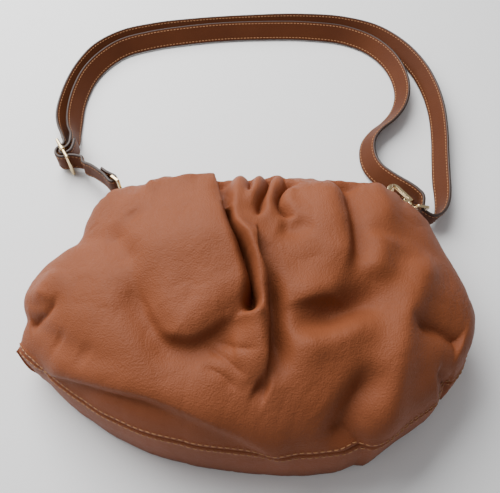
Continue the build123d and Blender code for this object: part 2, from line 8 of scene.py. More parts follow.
import bpy
import numpy as np
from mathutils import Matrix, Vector


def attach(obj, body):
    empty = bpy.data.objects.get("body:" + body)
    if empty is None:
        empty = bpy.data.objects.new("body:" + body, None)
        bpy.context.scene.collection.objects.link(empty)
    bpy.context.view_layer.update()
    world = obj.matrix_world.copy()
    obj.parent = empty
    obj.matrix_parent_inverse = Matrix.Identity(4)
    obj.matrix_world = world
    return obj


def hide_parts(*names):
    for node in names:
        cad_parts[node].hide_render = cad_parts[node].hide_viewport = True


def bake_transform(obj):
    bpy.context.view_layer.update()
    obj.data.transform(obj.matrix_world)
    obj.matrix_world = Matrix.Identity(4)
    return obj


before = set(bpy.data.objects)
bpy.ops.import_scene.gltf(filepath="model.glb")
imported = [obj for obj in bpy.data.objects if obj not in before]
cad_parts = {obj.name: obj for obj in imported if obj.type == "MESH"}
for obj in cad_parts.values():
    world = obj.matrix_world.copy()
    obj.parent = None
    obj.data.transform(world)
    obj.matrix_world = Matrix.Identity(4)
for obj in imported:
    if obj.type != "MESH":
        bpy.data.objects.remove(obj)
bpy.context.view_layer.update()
LOG = logging.getLogger("hobo_bag")
MM = 0.001
Array = np.ndarray
Material = bpy.types.Material
Object = bpy.types.Object
Points = Sequence[tuple[float, ...]]
RING_BARS = {"left": (-112.3, 108.6), "right": (119.9, 118.7)}  # middles of the rings' bars
RING_HEIGHT = 20.0


# ---- numbers

def unit_rows(vectors: Array) -> Array:
    """Vectors along the last axis, each made one long."""
    length = np.linalg.norm(vectors, axis=-1, keepdims=True)
    return vectors / np.maximum(length, 1e-9)


def distances(line: Array) -> Array:
    """How far along a line each of its points lies."""
    steps = np.linalg.norm(np.diff(line, axis=0), axis=1)
    return np.concatenate([[0.0], np.cumsum(steps)])


def read_off(values: Array, walked: Array, wanted: Array) -> Array:
    """Rows of values, given at some distances, at the wanted distances."""
    return np.stack([np.interp(wanted, walked, column) for column in values.T], axis=1)


def rounded(line: Array, passes: int) -> Array:
    """A line smoothed in place, with both ends kept."""
    for _ in range(passes):
        line[1:-1] = 0.25 * line[:-2] + 0.5 * line[1:-1] + 0.25 * line[2:]
    return line


def resampled(points: Points, count: int, rounding: int = 0) -> Array:
    """Points spaced evenly along a line through the given ones.

    Args:
        points: places along the line, two or three numbers each.
        count: how many points to return.
        rounding: passes of smoothing that keep both ends in place.

    Returns:
        An array with one row for each point.
    """
    line = np.array(points, float)
    walked = distances(line)
    return rounded(read_off(line, walked, np.linspace(0.0, walked[-1], count)), rounding)


def even_shares(curve: Array, shares: Array, count: int) -> Array:
    """Shares that cut a curve into pieces of one length."""
    walked = distances(curve)
    return np.interp(np.linspace(0.0, walked[-1], count), walked, shares)


def lattice_noise(x: Array, y: Array, seed: int) -> Array:
    """Smooth noise from -1 to 1 that changes over one unit of x and y."""
    rng = np.random.default_rng(seed)
    table = rng.uniform(-1.0, 1.0, (256, 256))
    left = np.floor(x).astype(int)
    low = np.floor(y).astype(int)
    a = x - left
    b = y - low
    a = a * a * a * (a * (6 * a - 15) + 10)
    b = b * b * b * (b * (6 * b - 15) + 10)
    corner = table[left % 256, low % 256] * (1 - a) + table[(left + 1) % 256, low % 256] * a
    upper = (table[left % 256, (low + 1) % 256] * (1 - a)
             + table[(left + 1) % 256, (low + 1) % 256] * a)
    return corner * (1 - b) + upper * b


def layered_noise(x: Array, y: Array, seed: int, octaves: int = 3) -> Array:
    """Several layers of noise, each half as large and twice as fine."""
    total = np.zeros_like(x)
    for layer in range(octaves):
        scale = 2.0 ** layer
        total += lattice_noise(x * scale + 17 * layer, y * scale - 9 * layer, seed + layer) / scale
    return total


# ---- meshes

def make_mesh(name: str, verts: Array, faces: Array) -> Object:
    """A smooth-shaded mesh object from millimetres.

    Args:
        name: the piece's name.
        verts: one row of x, y, z in millimetres for each vertex.
        faces: one row of vertex numbers for each four-sided face.

    Returns:
        The object, linked into the scene.
    """
    mesh = bpy.data.meshes.new(name)
    mesh.from_pydata((verts * MM).tolist(), [], faces.tolist())
    mesh.update()
    mesh.shade_smooth()
    obj = bpy.data.objects.new(name.replace(" ", "_"), mesh)
    bpy.context.scene.collection.objects.link(obj)
    return obj


def grid_faces(rows: int, columns: int, start: int = 0, turned: bool = False) -> Array:
    """Four-sided faces over a grid of vertices stored row by row."""
    index = np.arange(rows * columns).reshape(rows, columns) + start
    corners = [index[:-1, :-1], index[1:, :-1], index[1:, 1:], index[:-1, 1:]]
    if turned:
        corners = corners[::-1]
    return np.stack([c.ravel() for c in corners], axis=1)


def grid_normals(grid: Array) -> Array:
    """The outward direction at each vertex of a grid of shape (across, along, 3)."""
    across = np.gradient(grid, axis=0)
    along = np.gradient(grid, axis=1)
    return unit_rows(np.cross(across, along))


def thick_sheet(name: str, grid: Array, thickness: float) -> Object:
    """A closed sheet: the given outer grid and one set inwards from it.

    Args:
        name: the piece's name.
        grid: outer surface, shape (across, along, 3), in millimetres.
        thickness: how far inwards the inner face lies.

    Returns:
        The closed mesh object.
    """
    rows, columns = grid.shape[:2]
    inner = grid - grid_normals(grid) * thickness
    size = rows * columns
    verts = np.concatenate([grid.reshape(-1, 3), inner.reshape(-1, 3)])
    faces = [grid_faces(rows, columns), grid_faces(rows, columns, size, True)]
    index = np.arange(size).reshape(rows, columns)
    rim = np.concatenate([index[:, 0], index[-1, 1:], index[-2::-1, -1], index[0, -2:0:-1]])
    after = np.roll(rim, -1)
    faces.append(np.stack([rim, after, after + size, rim + size], axis=1)[:, ::-1])
    return make_mesh(name, verts, np.concatenate(faces))


# ---- folds

class Form(Enum):
    """The cross-section of a fold."""

    ROLL = "a soft round roll, or a soft hollow"
    CREASE = "a sharp line"
    BANK = "full on the left of its path and dropping sharply on the right"
    SLOPE = "full on the left of its path and falling away softly on the right"


@dataclass(frozen=True)
class Fold:
    """One fold, roll or crease in the leather, laid along a path seen from above.

    The path and the sizes are in millimetres. A positive height stands out and a
    negative one sinks in. The lean carries the crest sideways over its neighbour.
    """

    name: str
    path: Points
    height: float
    width: float
    lean: tuple[float, float] = (0.0, 0.0)
    form: Form = Form.ROLL
    ends: tuple[float, float] = (0.3, 0.3)

    def shape(self, x: Array, y: Array) -> Array:
        """How strongly the fold shows at each place, from 0 to 1.

        Args:
            x: places across the bag, in millimetres.
            y: places along the bag, in millimetres.

        Returns:
            An array of the same form as x.
        """
        line = resampled(self.path, 6 * len(self.path), 3)
        count = len(line) - 1
        nearest = np.full(x.shape, 1e9)
        share = np.zeros(x.shape)
        hand = np.ones(x.shape)
        for k in range(count):
            start, step = line[k], line[k + 1] - line[k]
            t = ((x - start[0]) * step[0] + (y - start[1]) * step[1]) / (step @ step)
            t = np.clip(t, 0, 1)
            off_x = x - start[0] - t * step[0]
            off_y = y - start[1] - t * step[1]
            away = np.hypot(off_x, off_y)
            near = away < nearest
            nearest = np.where(near, away, nearest)
            share = np.where(near, (k + t) / count, share)
            hand = np.where(near, np.sign(step[0] * off_y - step[1] * off_x), hand)
        first, last = self.ends
        fade = np.clip(share / first, 0, 1) * np.clip((1 - share) / last, 0, 1)
        fade = fade * fade * (3 - 2 * fade)
        width = self.width
        if self.form is Form.CREASE:
            return fade * np.exp(-nearest / (0.6 * width))
        if self.form is Form.BANK:
            width = np.where(hand > 0, self.width, 0.12 * self.width)
        if self.form is Form.SLOPE:
            width = np.where(hand > 0, self.width, 0.3 * self.width)
        return fade * np.exp(-(nearest / width) ** 2)


# ---- leather

@dataclass
class LeatherBody:
    """The bag's leather: a domed front and a flat back.

    Both sheets share one outline, which is where they are sewn together. Across
    runs from the left side seam to the right one, along from base to mouth.
    """

    across: int = 420
    along: int = 360
    leather: float = 2.0
    crown: float = 96.0
    pleat_width: float = 7.5
    pleat_height: float = 1.5
    pleats_from: float = 62.0
    pleats_over: float = 50.0
    lift: float = 0.2
    left_side: Points = (
        (-177, -27, 30), (-175, -22, 29), (-174, -14, 28), (-171, -5, 28), (-175, 3, 30),
        (-177, 12, 30), (-174, 25, 30), (-165, 37, 31), (-153, 46, 32), (-142, 52, 34),
        (-138, 62, 34), (-137, 75, 34), (-134, 88, 34), (-127, 101, 34), (-120, 112, 35),
    )
    right_side: Points = (
        (162, -26, 31), (162, -22, 31), (165, -18, 32), (169, -12, 33), (171, -3, 34),
        (170, 6, 34), (167, 20, 34), (162, 34, 34), (157, 48, 34), (153, 61, 34),
        (148, 77, 34), (141, 88, 34), (132, 99, 34), (125, 108, 34), (120, 114, 35),
    )
    base_edge: Points = (
        (-177, -27, 30), (-173, -33, 22), (-163, -42, 16), (-150, -53, 9), (-130, -68, 4),
        (-104, -84, 2), (-75, -97, 1), (-40, -106, 1), (0, -111, 1), (40, -113, 1),
        (68, -109, 1), (96, -94, 2), (122, -78, 5), (142, -64, 9), (154, -50, 17),
        (160, -37, 26), (162, -26, 31),
    )
    mouth_edge: Points = (
        (-120, 112, 35), (-112, 116, 34), (-97, 116, 34), (-82, 116, 34), (-62, 119, 34),
        (-42, 117, 34), (-20, 115, 34), (0, 116, 34), (25, 117, 34), (52, 118, 34),
        (80, 117, 34), (100, 116, 34), (112, 116, 34), (120, 114, 35),
    )
    folds: tuple[Fold, ...] = field(default_factory=tuple)

    def shares(self) -> tuple[Array, Array]:
        """Where the grid's columns and rows lie, as shares from 0 to 1."""
        turn = np.linspace(0.0, math.pi, 4000)
        wide = -np.sign(np.cos(turn)) * np.abs(np.cos(turn)) ** (2 / 3)
        high = np.sin(turn) ** (2 / 3)
        arch = np.stack([165 * wide, 62 * high], axis=1)
        u = even_shares(arch, 0.5 + 0.5 * wide, self.across)
        v_fine = np.linspace(0.0, 1.0, 6000)
        profile = np.stack([225 * v_fine, self.rise(v_fine) * 80], axis=1)
        v = even_shares(profile, v_fine, self.along)
        return u, v

    def rise(self, v: Array) -> Array:
        """The middle profile's height over its edge, 0 at both ends and 1 at the crown."""
        base = np.clip(1 - v / 0.5, 0, 1)
        mouth = np.clip((v - 0.5) / 0.5, 0, 1)
        steep = (1 - base ** 3) ** 0.28
        return np.where(v < 0.5, steep, (1 - mouth ** 3.0) ** 0.42)

    def edges(self, u: Array, v: Array) -> Array:
        """A smooth patch over the outline, shape (across, along, 3)."""
        left = self.on_curve(self.left_side, v)[None]
        right = self.on_curve(self.right_side, v)[None]
        base = self.on_curve(self.base_edge, u)[:, None]
        mouth = self.on_curve(self.mouth_edge, u)[:, None]
        s = u[:, None, None]
        t = v[None, :, None]
        corners = ((1 - s) * (1 - t) * base[0, 0] + s * (1 - t) * base[-1, 0]
                   + (1 - s) * t * mouth[0, 0] + s * t * mouth[-1, 0])
        return (1 - s) * left + s * right + (1 - t) * base + t * mouth - corners

    @staticmethod
    def on_curve(points: Points, shares: Array) -> Array:
        """Places on a rounded curve at the given shares of its length."""
        fine = resampled(points, 400, 60)
        place = shares * (len(fine) - 1)
        low = np.clip(np.floor(place).astype(int), 0, len(fine) - 2)
        part = (place - low)[:, None]
        return fine[low] * (1 - part) + fine[low + 1] * part

    def smooth_front(self) -> Array:
        """The filled front without any folds."""
        u, v = self.shares()
        patch = self.edges(u, v)
        wide = np.abs(2 * u - 1)
        arch = np.clip(1 - wide ** 2.7, 0, 1) ** (1 / 2.3)
        lift = arch[:, None] * self.rise(v)[None]
        patch[..., 2] += (self.crown - patch[..., 2]) * lift
        return patch

    def flat_back(self) -> Array:
        """The back, pressed flat on the table inside its seams."""
        u, v = self.shares()
        patch = self.edges(u, v)
        wide = np.abs(2 * u - 1)
        arch = np.clip(1 - wide ** 6, 0, 1) ** 0.4
        ends = np.clip(1 - np.clip(2 * v - 1, 0, 1) ** 7, 0, 1) ** 0.4
        patch[..., 2] *= 1 - arch[:, None] * ends[None]
        patch[..., 2] += self.lift
        return patch

    def folded(self, grid: Array) -> Array:
        """The surface with its named folds pressed in."""
        x, y = grid[..., 0], grid[..., 1]
        normal = grid_normals(grid)
        lift = np.zeros(x.shape)
        aside = np.zeros(x.shape + (2,))
        for fold in self.folds:
            shape = fold.shape(x, y)
            lift += fold.height * shape
            aside += shape[..., None] * np.array(fold.lean)
        moved = grid + normal * lift[..., None]
        moved[..., :2] += aside
        return moved

    def wrinkled(self, grid: Array, smooth: Array) -> Array:
        """The folded surface with its loose wrinkles and the pleats of the mouth.

        Args:
            grid: the surface after its named folds.
            smooth: the surface before them, which the wrinkles are laid out on.

        Returns:
            The finished outer surface.
        """
        x, y = smooth[..., 0], smooth[..., 1]
        drift_x = 9 * layered_noise(x / 55, y / 55, 11)
        drift_y = 9 * layered_noise(x / 55, y / 55, 12)
        slack = 1 - np.abs(layered_noise((x + drift_x) / 30, (y + drift_y) / 42, 21, 2))
        soft = layered_noise(x / 24, y / 24, 31, 2)
        fine = 1 - np.abs(layered_noise((x + drift_x) / 8, (y + drift_y) / 14, 41, 2))
        patches = np.clip(0.5 + layered_noise(x / 50, y / 50, 51, 2), 0, 1)
        lift = 0.6 * soft - 0.3 * slack ** 6 - 0.3 * patches * fine ** 6
        near_mouth = np.clip((y - self.pleats_from) / self.pleats_over, 0, 1) ** 1.5
        fan = x / (1 + 0.12 * near_mouth)
        pleats = layered_noise(fan / self.pleat_width, y / 60, 61, 2)
        lift += self.pleat_height * near_mouth * pleats
        moved = grid + grid_normals(grid) * lift[..., None]
        for _ in range(2):
            moved[1:-1, 1:-1] = (0.5 * moved[1:-1, 1:-1] + 0.125 * (
                moved[:-2, 1:-1] + moved[2:, 1:-1] + moved[1:-1, :-2] + moved[1:-1, 2:]))
        return moved


# ---- finishes

def linear(colour: str) -> tuple[float, float, float, float]:
    """An sRGB hex colour such as #B0704E as linear red, green, blue and alpha."""
    parts = []
    for k in (1, 3, 5):
        value = int(colour[k:k + 2], 16) / 255
        parts.append(value / 12.92 if value <= 0.04045 else ((value + 0.055) / 1.055) ** 2.4)
    return (parts[0], parts[1], parts[2], 1.0)


def add_node(tree: bpy.types.NodeTree, kind: str, settings: dict | None = None,
             links: dict | None = None) -> bpy.types.Node:
    """A shader node with its settings made and its inputs filled.

    Args:
        tree: the material's node tree.
        kind: the node's type, such as ShaderNodeTexNoise.
        settings: values for the node's own properties.
        links: for each input's name or number, a value or another node's output.

    Returns:
        The new node.
    """
    node = tree.nodes.new(kind)
    for key, value in (settings or {}).items():
        setattr(node, key, value)
    for key, value in (links or {}).items():
        if isinstance(value, bpy.types.NodeSocket):
            tree.links.new(value, node.inputs[key])
        else:
            node.inputs[key].default_value = value
    return node


def blank_material(name: str) -> tuple[Material, bpy.types.NodeTree]:
    """An empty material and its tree."""
    material = bpy.data.materials.new(name)
    material.use_nodes = True
    tree = material.node_tree
    tree.nodes.clear()
    return material, tree


def finished(material: Material, shader: bpy.types.Node) -> Material:
    """The material with its shader joined to the output."""
    add_node(material.node_tree, "ShaderNodeOutputMaterial", None, {"Surface": shader.outputs[0]})
    return material


@dataclass(frozen=True)
class NappaLeather:
    """Drum-dyed calf nappa, lightly finished: soft, with a low satin glow and a fine grain."""

    name: str
    colour: str = "#8E5237"
    deep: str = "#713C20"
    roughness: float = 0.52
    grain_mm: float = 1.2  # drawn coarser than the real 0.8 mm, to show at this distance
    grain_depth_mm: float = 0.32
    crinkle_mm: float = 3.0
    shine: float = 0.12

    def build(self) -> Material:
        """The material, its cloudy dye and its pebbled grain."""
        material, tree = blank_material(self.name)
        place = add_node(tree, "ShaderNodeTexCoord")
        cloud = add_node(tree, "ShaderNodeTexNoise", None, {
            "Vector": place.outputs["Object"], "Scale": 1 / (60 * MM), "Detail": 3.0})
        dye = add_node(tree, "ShaderNodeMix", {"data_type": "RGBA"}, {
            0: cloud.outputs["Fac"], 6: linear(self.deep), 7: linear(self.colour)})
        pebble = add_node(tree, "ShaderNodeTexVoronoi", {"feature": "SMOOTH_F1"}, {
            "Vector": place.outputs["Object"], "Scale": 1 / (self.grain_mm * MM),
            "Smoothness": 0.4})
        nap = add_node(tree, "ShaderNodeTexNoise", None, {
            "Vector": place.outputs["Object"], "Scale": 1 / (self.crinkle_mm * MM),
            "Detail": 5.0, "Roughness": 0.65, "Distortion": 0.8})
        height = add_node(tree, "ShaderNodeMath", {"operation": "ADD"}, {
            0: pebble.outputs["Distance"], 1: nap.outputs["Fac"]})
        bump = add_node(tree, "ShaderNodeBump", None, {
            "Strength": 0.8, "Distance": self.grain_depth_mm * MM, "Height": height.outputs[0]})
        gloss = add_node(tree, "ShaderNodeMapRange", None, {
            "Value": nap.outputs["Fac"], "From Min": 0.3, "From Max": 0.7,
            "To Min": self.roughness - 0.05, "To Max": self.roughness + 0.08})
        shader = add_node(tree, "ShaderNodeBsdfPrincipled", None, {
            "Base Color": dye.outputs[2], "Roughness": gloss.outputs["Result"],
            "IOR": 1.5, "Specular IOR Level": self.shine, "Normal": bump.outputs["Normal"]})
        return finished(material, shader)


@dataclass(frozen=True)
class PlainFinish:
    """A finish with one colour and no pattern worth showing at this size."""

    name: str
    colour: str
    roughness: float
    metallic: float = 0.0

    def build(self) -> Material:
        """The material."""
        material, tree = blank_material(self.name)
        shader = add_node(tree, "ShaderNodeBsdfPrincipled", None, {
            "Base Color": linear(self.colour), "Roughness": self.roughness,
            "Metallic": self.metallic})
        return finished(material, shader)


@dataclass(frozen=True)
class TwillLining:
    """Woven cotton twill: matt, with a fine diagonal rib."""

    name: str
    colour: str = "#A58C6C"
    rib_mm: float = 1.4  # drawn coarser than the real 0.6 mm, to show at all

    def build(self) -> Material:
        """The material with its rib as a slight bump."""
        material, tree = blank_material(self.name)
        place = add_node(tree, "ShaderNodeTexCoord")
        turned = add_node(tree, "ShaderNodeMapping", None, {
            "Vector": place.outputs["Object"], "Rotation": (0.0, 0.0, math.radians(45))})
        rib = add_node(tree, "ShaderNodeTexWave", None, {
            "Vector": turned.outputs[0], "Scale": 0.31 / (self.rib_mm * MM)})
        bump = add_node(tree, "ShaderNodeBump", None, {
            "Strength": 0.4, "Distance": 0.15 * MM, "Height": rib.outputs["Fac"]})
        shader = add_node(tree, "ShaderNodeBsdfPrincipled", None, {
            "Base Color": linear(self.colour), "Roughness": 0.85, "IOR": 1.45,
            "Normal": bump.outputs["Normal"]})
        return finished(material, shader)


BODY_LEATHER = NappaLeather("Body leather, drum-dyed nappa")
STRAP_LEATHER = NappaLeather("Strap leather, pressed nappa", "#63371F", "#4B2717", 0.5, 1.2, 0.12)
TAB_LEATHER = NappaLeather("Tab leather, drum-dyed nappa", "#8F5028", "#743C1A")
# a dark, smooth line along the strap's cut edges
EDGE_PAINT = PlainFinish("Edge paint, dark acrylic", "#35231A", 0.5)
# small tan dashes, a little lighter than the leather
THREAD = PlainFinish("Thread, bonded polyester", "#A9764A", 0.6)
# zinc castings, polished and plated: bright and warm, with softly blurred reflections
GOLD = PlainFinish("Hardware, pale gold plate", "#E6CDA0", 0.2, 1.0)
# grey metal inside the open mouth, bright but not a mirror
FRAME_STEEL = PlainFinish("Frame, plated spring steel", "#B8B4AC", 0.35, 1.0)
# brighter, sharper patches along the frame
MAGNET_PLATE = PlainFinish("Magnets, nickel plate", "#C8C8CA", 0.22, 1.0)
LINING = TwillLining("Lining, cotton twill")


# ---- stitches

def capsules(name: str, centres: Array, along: Array, up: Array,
             size: tuple[float, float, float]) -> Object:
    """One mesh of many small rounded stitches.

    Args:
        name: the piece's name.
        centres: the middle of each stitch.
        along: the direction each stitch runs in.
        up: the direction each stitch stands out in.
        size: length, width and height of a stitch, in millimetres.

    Returns:
        The mesh object.
    """
    side = unit_rows(np.cross(up, along))
    rings = ((-0.5, 0.35, -0.35), (-0.38, 0.8, 0.0), (-0.15, 1.0, 0.12), (0.15, 1.0, 0.12),
             (0.38, 0.8, 0.0), (0.5, 0.35, -0.35))
    turns = np.linspace(0, 2 * math.pi, 8, endpoint=False)
    verts = []
    for place, scale, drop in rings:
        for turn in turns:
            out = (place * size[0] * along + 0.5 * size[1] * scale * math.cos(turn) * side
                   + size[2] * (0.5 * scale * math.sin(turn) + drop) * up)
            verts.append(centres + out)
    count = len(turns)
    cloud = np.stack(verts, axis=1)
    faces = []
    for ring in range(len(rings) - 1):
        for k in range(count):
            after = (k + 1) % count
            faces.append((ring * count + k, ring * count + after,
                          (ring + 1) * count + after, (ring + 1) * count + k))
    last = (len(rings) - 1) * count
    for start, order in ((0, -1), (last, 1)):
        loop = [start + k for k in range(count)][::order]
        for k in range(1, count - 2, 2):
            faces.append((loop[0], loop[k], loop[k + 1], loop[k + 2]))
    one = np.array(faces)
    per = len(rings) * count
    every = (one[None] + (np.arange(len(centres)) * per)[:, None, None]).reshape(-1, 4)
    return make_mesh(name, cloud.reshape(-1, 3), every)


def stitch_row(line: Array, normals: Array, pitch: float, skip: float = 0.0
               ) -> tuple[Array, Array, Array]:
    """Where the stitches of one row lie on a line.

    Args:
        line: points along the row.
        normals: the outward direction at each point.
        pitch: distance from one stitch to the next, in millimetres.
        skip: length left without stitches at both ends.

    Returns:
        Centres, directions along the row and outward directions.
    """
    walked = distances(line)
    wanted = np.arange(skip + pitch / 2, walked[-1] - skip, pitch)
    tangent = unit_rows(np.gradient(line, axis=0))
    places, along, out = (read_off(v, walked, wanted) for v in (line, tangent, normals))
    return places, unit_rows(along), unit_rows(out)


# ---- strap

@dataclass
class Strap:
    """The shoulder strap: one flat length on edge, both ends folded and sewn."""

    width: float = 20.0
    thick: float = 2.6
    stitch_pitch: float = 3.6
    stitch_inset: float = 2.6
    step: float = 1.6
    ring_reach: float = 16.5
    ring_aims: tuple[float, float] = (51.5, 20.0)
    hook_aims: tuple[float, float] = (-52.3, 140.0)
    hook_pull: float = 1.4
    ball: float = 24.0
    eye_base: float = 2.5
    eye_depth: float = 8.5
    eye_wire: float = 1.2
    right_eye_aim: float = -10.0
    right_eye_lean: float = 25.0
    fit: float = 0.3
    slider_centre: tuple[float, float] = (-176.0, 173.3)
    slider_aim: float = -58.7
    slider_spacing: float = 12.0
    slider_wire: float = 1.5
    slider_middle: float = 14.85
    tail: Points = ((-147.0, 154.5, 17.5, 0), (-156.0, 161.0, 15.5, 0))
    outer_run: Points = (
        (-181.5, 200, 12.5, 14), (-184.5, 212, 10, 27), (-187, 227, 9, 38), (-186.5, 253, 9, 38),
        (-183, 275, 9, 38), (-176, 298, 9, 38), (-163, 322, 9, 38), (-140, 341, 9, 38),
        (-105, 353, 9, 38), (-56, 361, 9, 38), (0, 366, 9, 38), (57, 368, 9, 38),
        (105, 363, 9, 38), (138, 350, 9, 38), (163, 326, 9, 38), (179, 297, 9, 38),
        (187, 267, 9, 38), (189.5, 237, 9, 38), (187.5, 205, 9, 38), (183.5, 175, 9, 38),
        (180.5, 150, 9, 38), (179, 134, 9.5, 32), (176.5, 121, 10.5, 25), (172.5, 111, 12, 18),
        (167, 104.5, 13.5, 12), (161, 101.8, 15.2, 7), (155.8, 103, 17, 2),
    )
    inner_run: Points = (
        (153, 117.5, 22, -4), (149.8, 123.5, 20.5, -10), (144.5, 130.5, 18, -18),
        (137, 138.5, 15, -25), (128.5, 147.5, 12.5, -31), (120.5, 157.5, 10.5, -35),
        (115.5, 168.5, 9.4, -38), (113.8, 182, 9, -38), (116.5, 197, 9, -38),
        (125, 210, 9, -38), (138, 222, 9, -38), (150, 238, 9, -38), (157.5, 260, 9, -38),
        (157, 286, 9, -38), (148, 312, 9, -38), (131, 333, 9, -38), (104, 348, 9, -38),
        (67, 354.5, 9, -38), (11, 355.5, 9, -38), (-33, 353, 9, -38), (-72, 347.5, 9, -38),
        (-110, 339, 9, -38), (-139, 327, 9, -38), (-157, 309, 9, -38), (-168.5, 289, 9, -38),
        (-175, 265, 9, -38), (-177, 245, 9, -38), (-176.5, 226, 9, -38), (-174.5, 210, 10.5, -26),
        (-171.5, 197.5, 13, -13),
    )

    @staticmethod
    def aim(degrees: float) -> Array:
        """A level direction."""
        turn = math.radians(degrees)
        return np.array([math.cos(turn), math.sin(turn), 0.0])

    def hook_place(self, hand: int, x: float, y: float) -> Array:
        """A place in a hook's own frame (0 right, 1 left), as a place on the bag."""
        bar = RING_BARS[("right", "left")[hand]]
        ahead = self.aim(self.hook_aims[hand])
        origin = np.array([*bar, RING_HEIGHT])
        origin += self.aim(self.ring_aims[hand]) * self.ring_reach
        side = np.array([-ahead[1], ahead[0], 0.0])
        return origin + ahead * (self.hook_pull + x) + side * y

    def sewn_end(self) -> list[tuple[float, ...]]:
        """Stations of the end folded round the left hook's eye."""
        bar = self.ball + self.eye_base + self.eye_depth
        fold = math.hypot(self.eye_wire, self.eye_wire) + self.fit + self.thick / 2
        apart = self.thick / 2 + self.fit
        local = [(bar + 16, -apart), (bar + 10, -apart), (bar + 4, -0.8 * fold)]
        for step in range(7):
            turn = math.radians(270 - 30 * step)
            local.append((bar + fold * math.cos(turn), fold * math.sin(turn)))
        local += [(bar + 4, 0.8 * fold), (bar + 10, apart), (bar + 16, apart)]
        return [(*self.hook_place(1, x, y), 0.0) for x, y in local]

    def at_slider(self, rows: Points) -> list[tuple[float, ...]]:
        """Stations given along and across the slider's rails."""
        ahead = self.aim(self.slider_aim)
        out = np.array([ahead[1], -ahead[0], 0.0])
        origin = np.array([*self.slider_centre, self.slider_middle])
        return [(*(origin + ahead * along + out * across), 0.0) for along, across in rows]

    def stations(self) -> Array:
        """Every station of the strap: x, y, z and lean."""
        fold = self.slider_wire + self.fit + self.thick / 2
        crossing = fold + self.thick + 1.1
        clear = fold + self.thick + self.fit
        running = self.at_slider((
            (16, -12), (11, -8), (crossing + 1.2, -4), (crossing, -1), (crossing - 0.4, 2.5),
            (0.7 * clear, 0.93 * clear), (0, clear + 1), (-0.7 * clear, 0.93 * clear),
            (-crossing + 0.4, 2.5), (-crossing, -1), (-crossing - 1.8, -4.2),
            (-self.slider_spacing, -5.8), (-self.slider_spacing - 4, -6.3)))
        ahead = self.aim(self.right_eye_aim)
        lean = math.radians(self.right_eye_lean)
        tilted = np.array([0.0, -math.sin(lean), math.cos(lean)])
        upright = unit_rows(tilted - ahead * (tilted @ ahead))
        middle = self.hook_place(0, self.ball, 0) + ahead * (self.eye_base + 0.55 * self.eye_depth)
        through = np.cross(upright, ahead)
        eye = [(*(middle + through * step), 0.0) for step in (-3.5, 0.0, 3.5)]
        rows = [(-11, -12), (-6, -8.8), (-3.5, -5), (-fold, -1)]
        for step in range(7):
            turn = math.radians(180 - 30 * step)
            rows.append((fold * math.cos(turn), fold * math.sin(turn)))
        rows += [(fold, -3), (2.2, -6.5), (-1, -10), (-5, -13), (-9.5, -15.6)]
        return np.array(self.sewn_end() + list(self.tail) + running + list(self.outer_run) + eye
                        + list(self.inner_run) + self.at_slider(rows), float)

    def path(self) -> Array:
        """A rounded line through the stations at an even step: x, y, z and lean."""
        knots = self.stations()
        before = np.vstack([2 * knots[0] - knots[1], knots[:-1]])
        after = np.vstack([knots[1:], 2 * knots[-1] - knots[-2]])
        gap = np.linalg.norm(np.diff(knots[:, :3], axis=0), axis=1)
        near = np.concatenate([[gap[0]], gap])[:, None]
        far = np.concatenate([gap, [gap[-1]]])[:, None]
        slope = ((knots - before) / near * far + (after - knots) / far * near) / (near + far)
        pieces = []
        for k, long in enumerate(gap):
            t = np.linspace(0, 1, max(3, int(long / 0.5)), endpoint=False)[:, None]
            pieces.append((2 * t ** 3 - 3 * t ** 2 + 1) * knots[k]
                          + (t ** 3 - 2 * t ** 2 + t) * slope[k] * long
                          + (3 * t ** 2 - 2 * t ** 3) * knots[k + 1]
                          + (t ** 3 - t ** 2) * slope[k + 1] * long)
        fine = np.vstack(pieces + [knots[-1:]])
        walked = distances(fine[:, :3])
        return read_off(fine, walked, np.arange(0, walked[-1], self.step))

    def frames(self) -> tuple[Array, Array, Array, Array]:
        """The strap's middle line with its directions along, up its width and out of its face."""
        path = self.path()
        centre = path[:, :3]
        along = unit_rows(np.gradient(centre, axis=0))
        left = unit_rows(np.cross(np.array([0.0, 0.0, 1.0]), along))
        upright = np.cross(along, left)
        lean = np.radians(path[:, 3:])
        up = upright * np.cos(lean) + left * np.sin(lean)
        return centre, along, up, np.cross(along, up)

    def build(self) -> Object:
        """The strap with its painted edges and both rows of stitches on each face."""
        centre, along, up, out = self.frames()
        half_w, half_t = self.width / 2, self.thick / 2
        outline = []
        for sign in (1, -1):
            for inset, face in ((0.9, -1), (0.3, -0.85), (0, -0.5), (0, 0.5), (0.3, 0.85),
                                (0.9, 1)):
                outline.append((sign * (half_w - inset), sign * face * half_t))
            for share in (0.55, 0.2, -0.2, -0.55):
                outline.append((sign * share * half_w, sign * 1.04 * half_t))
        ring = len(outline)
        rows = [centre + up * a + out * b for a, b in outline]
        grid = np.stack(rows + rows[:1], axis=0)
        count = grid.shape[1]
        verts = grid[:-1].transpose(1, 0, 2).reshape(-1, 3)
        index = np.arange(count * ring).reshape(count, ring)
        after = np.roll(index, -1, axis=1)
        faces = np.stack([index[:-1], index[1:], after[1:], after[:-1]], axis=-1).reshape(-1, 4)
        caps = []
        for end, order in ((0, 1), (count - 1, -1)):
            loop = list(index[end])[::order]
            for k in range(ring // 2 - 1):
                caps.append((loop[k], loop[k + 1], loop[ring - 2 - k], loop[ring - 1 - k]))
        strap = make_mesh("Strap", verts, np.concatenate([faces, np.array(caps)]))
        strap.data.materials.append(STRAP_LEATHER.build())
        strap.data.materials.append(EDGE_PAINT.build())
        edge = np.zeros(ring, int)
        edge[[0, 1, 2, 3, 4, 10, 11, 12, 13, 14]] = 1
        slots = np.concatenate([np.tile(edge, count - 1), np.zeros(len(caps), int)])
        strap.data.polygons.foreach_set("material_index", slots.astype(np.int32))
        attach(strap, "strap_body")
        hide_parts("strap")
        self.stitches(centre, up, out)
        return strap

